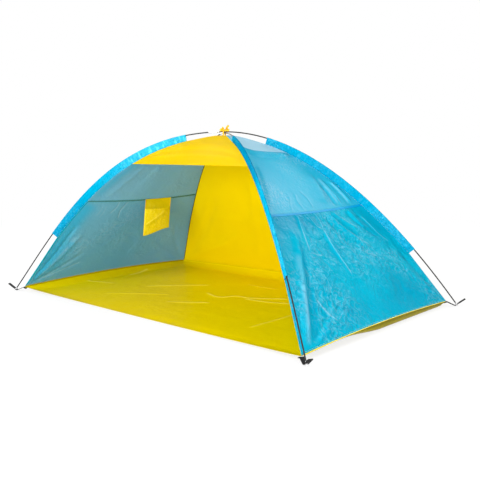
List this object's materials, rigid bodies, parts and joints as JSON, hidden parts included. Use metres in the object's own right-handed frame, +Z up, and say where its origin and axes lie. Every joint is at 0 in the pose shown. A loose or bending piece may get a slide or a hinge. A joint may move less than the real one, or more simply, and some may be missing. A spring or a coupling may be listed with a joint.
{
  "type": "beach tent",
  "caption": "Low beach tent, open at the front: crossed fibreglass poles in fabric sleeves hold up fabric walls, a short visor and a groundsheet, with a hanging inner pocket.",
  "frame": {"origin": "middle of the tent's outline on the ground, under its groundsheet", "axes": "+X along the front opening towards the right corner as seen from the front, +Y from the opening to the back wall, +Z up"},
  "size_m": [2.3935, 1.5356, 1.0378],
  "materials": {
    "yellow_fabric": "thin coated polyester, soft sheen",
    "blue_fabric": "thin coated polyester, soft sheen",
    "groundsheet": "woven polyethylene sheet, waxy gloss",
    "fibreglass": "satin",
    "steel": "bright, drawn",
    "elastic_cord": "braided",
    "webbing": "woven",
    "ribbon": "satin ribbon"
  },
  "bodies": {
    "tent": {"back_wall": "yellow_fabric", "visor": "yellow_fabric", "visor_reinforcement_left": "yellow_fabric", "visor_reinforcement_right": "yellow_fabric", "peak_patch": "yellow_fabric", "piping_left": "yellow_fabric", "piping_right": "yellow_fabric", "left_wall_lower_panel": "blue_fabric", "left_wall_upper_panel": "blue_fabric", "right_wall_lower_panel": "blue_fabric", "right_wall_upper_panel": "blue_fabric", "sleeve_front_left": "blue_fabric", "sleeve_front_right": "blue_fabric", "sleeve_back_right": "blue_fabric", "sleeve_back_left": "blue_fabric", "groundsheet": "groundsheet", "pole_1_tube_1": "fibreglass", "pole_1_tube_2": "fibreglass", "pole_1_tube_3": "fibreglass", "pole_1_tube_4": "fibreglass", "pole_1_tube_5": "fibreglass", "pole_1_tube_6": "fibreglass", "pole_2_tube_1": "fibreglass", "pole_2_tube_2": "fibreglass", "pole_2_tube_3": "fibreglass", "pole_2_tube_4": "fibreglass", "pole_2_tube_5": "fibreglass", "pole_2_tube_6": "fibreglass", "pole_1_ferrule_1": "steel", "pole_1_ferrule_2": "steel", "pole_1_ferrule_3": "steel", "pole_1_ferrule_4": "steel", "pole_1_ferrule_5": "steel", "pole_2_ferrule_1": "steel", "pole_2_ferrule_2": "steel", "pole_2_ferrule_3": "steel", "pole_2_ferrule_4": "steel", "pole_2_ferrule_5": "steel", "pole_tip_front_left": "steel", "pole_tip_front_right": "steel", "pole_tip_back_right": "steel", "pole_tip_back_left": "steel", "eyelet_front_left": "steel", "eyelet_front_right": "steel", "eyelet_back_right": "steel", "eyelet_back_left": "steel", "pole_1_shock_cord": "elastic_cord", "pole_2_shock_cord": "elastic_cord", "corner_strap_front_left": "webbing", "corner_strap_front_right": "webbing", "corner_strap_back_right": "webbing", "corner_strap_back_left": "webbing", "ribbon_tie": "ribbon"},
    "pocket_pouch": {"pocket": "yellow_fabric"},
    "tab_front_left": {"peg_tab_front_left": "webbing"},
    "tab_front_right": {"peg_tab_front_right": "webbing"},
    "tab_back_right": {"peg_tab_back_right": "webbing"},
    "tab_back_left": {"peg_tab_back_left": "webbing"}
  },
  "joints": [
    {"name": "pocket_swing", "type": "hinge", "parent": "tent", "child": "pocket_pouch", "pos_m": [-0.68151, -0.03393, 0.56854], "axis": [-0.0168, -0.9998, -0.0101], "range_deg": [-30, 100]},
    {"name": "tab_front_left_fold", "type": "hinge", "parent": "tent", "child": "tab_front_left", "pos_m": [-1.15836, -0.73714, 0.01675], "axis": [-0.5369, 0.8437, 0], "range_deg": [-50, 80]},
    {"name": "tab_front_right_fold", "type": "hinge", "parent": "tent", "child": "tab_front_right", "pos_m": [1.15833, -0.73712, 0.01677], "axis": [-0.5369, -0.8437, 0], "range_deg": [-50, 80]},
    {"name": "tab_back_right_fold", "type": "hinge", "parent": "tent", "child": "tab_back_right", "pos_m": [1.15833, 0.73712, 0.01677], "axis": [0.5369, -0.8437, 0], "range_deg": [-50, 80]},
    {"name": "tab_back_left_fold", "type": "hinge", "parent": "tent", "child": "tab_back_left", "pos_m": [-1.15834, 0.73713, 0.01676], "axis": [0.5369, 0.8437, 0], "range_deg": [-50, 80]}
  ]
}
